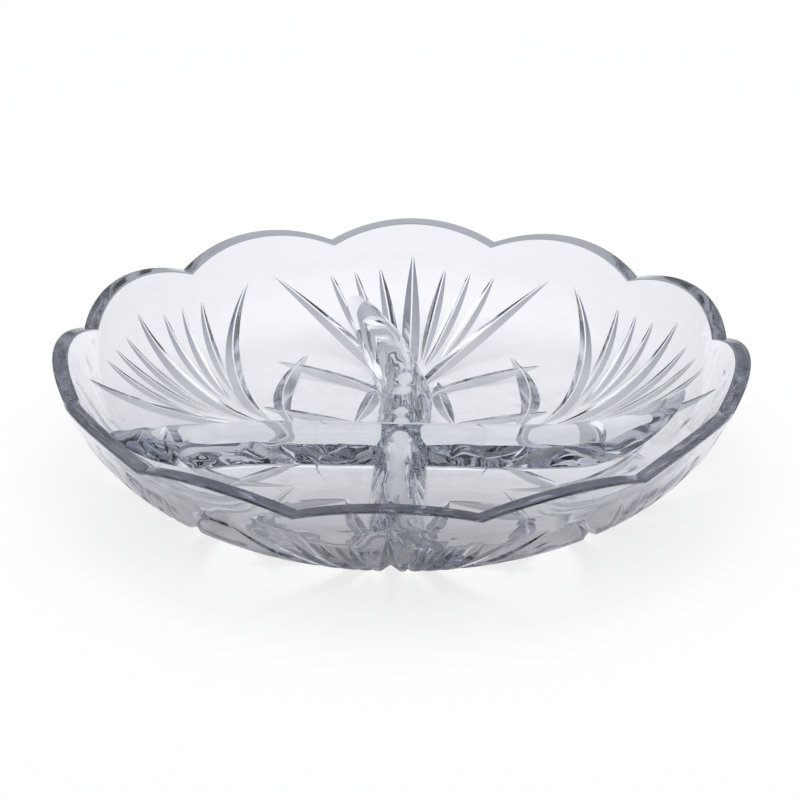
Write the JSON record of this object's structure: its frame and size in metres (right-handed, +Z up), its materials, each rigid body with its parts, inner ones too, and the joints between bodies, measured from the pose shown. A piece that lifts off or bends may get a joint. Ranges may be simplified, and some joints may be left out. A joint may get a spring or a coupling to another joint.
{
  "type": "relish tray",
  "caption": "Round clear pressed-glass relish tray with a scalloped rim, cut fans and star underneath, and a swirled cross of dividers inside.",
  "frame": {"origin": "centre of the flat base, on the surface that the tray stands on", "axes": "+Z up along the axis of the bowl; +X towards the straight part of one divider arm, and +Y towards the arm at the back in the picture"},
  "size_m": [0.259, 0.259, 0.0487],
  "materials": {
    "clear_glass": "gloss"
  },
  "bodies": {
    "root": {"floor": "clear_glass", "wall": "clear_glass", "rim": "clear_glass", "divider_right": "clear_glass", "divider_rear": "clear_glass", "divider_left": "clear_glass", "divider_front": "clear_glass"}
  },
  "joints": []
}
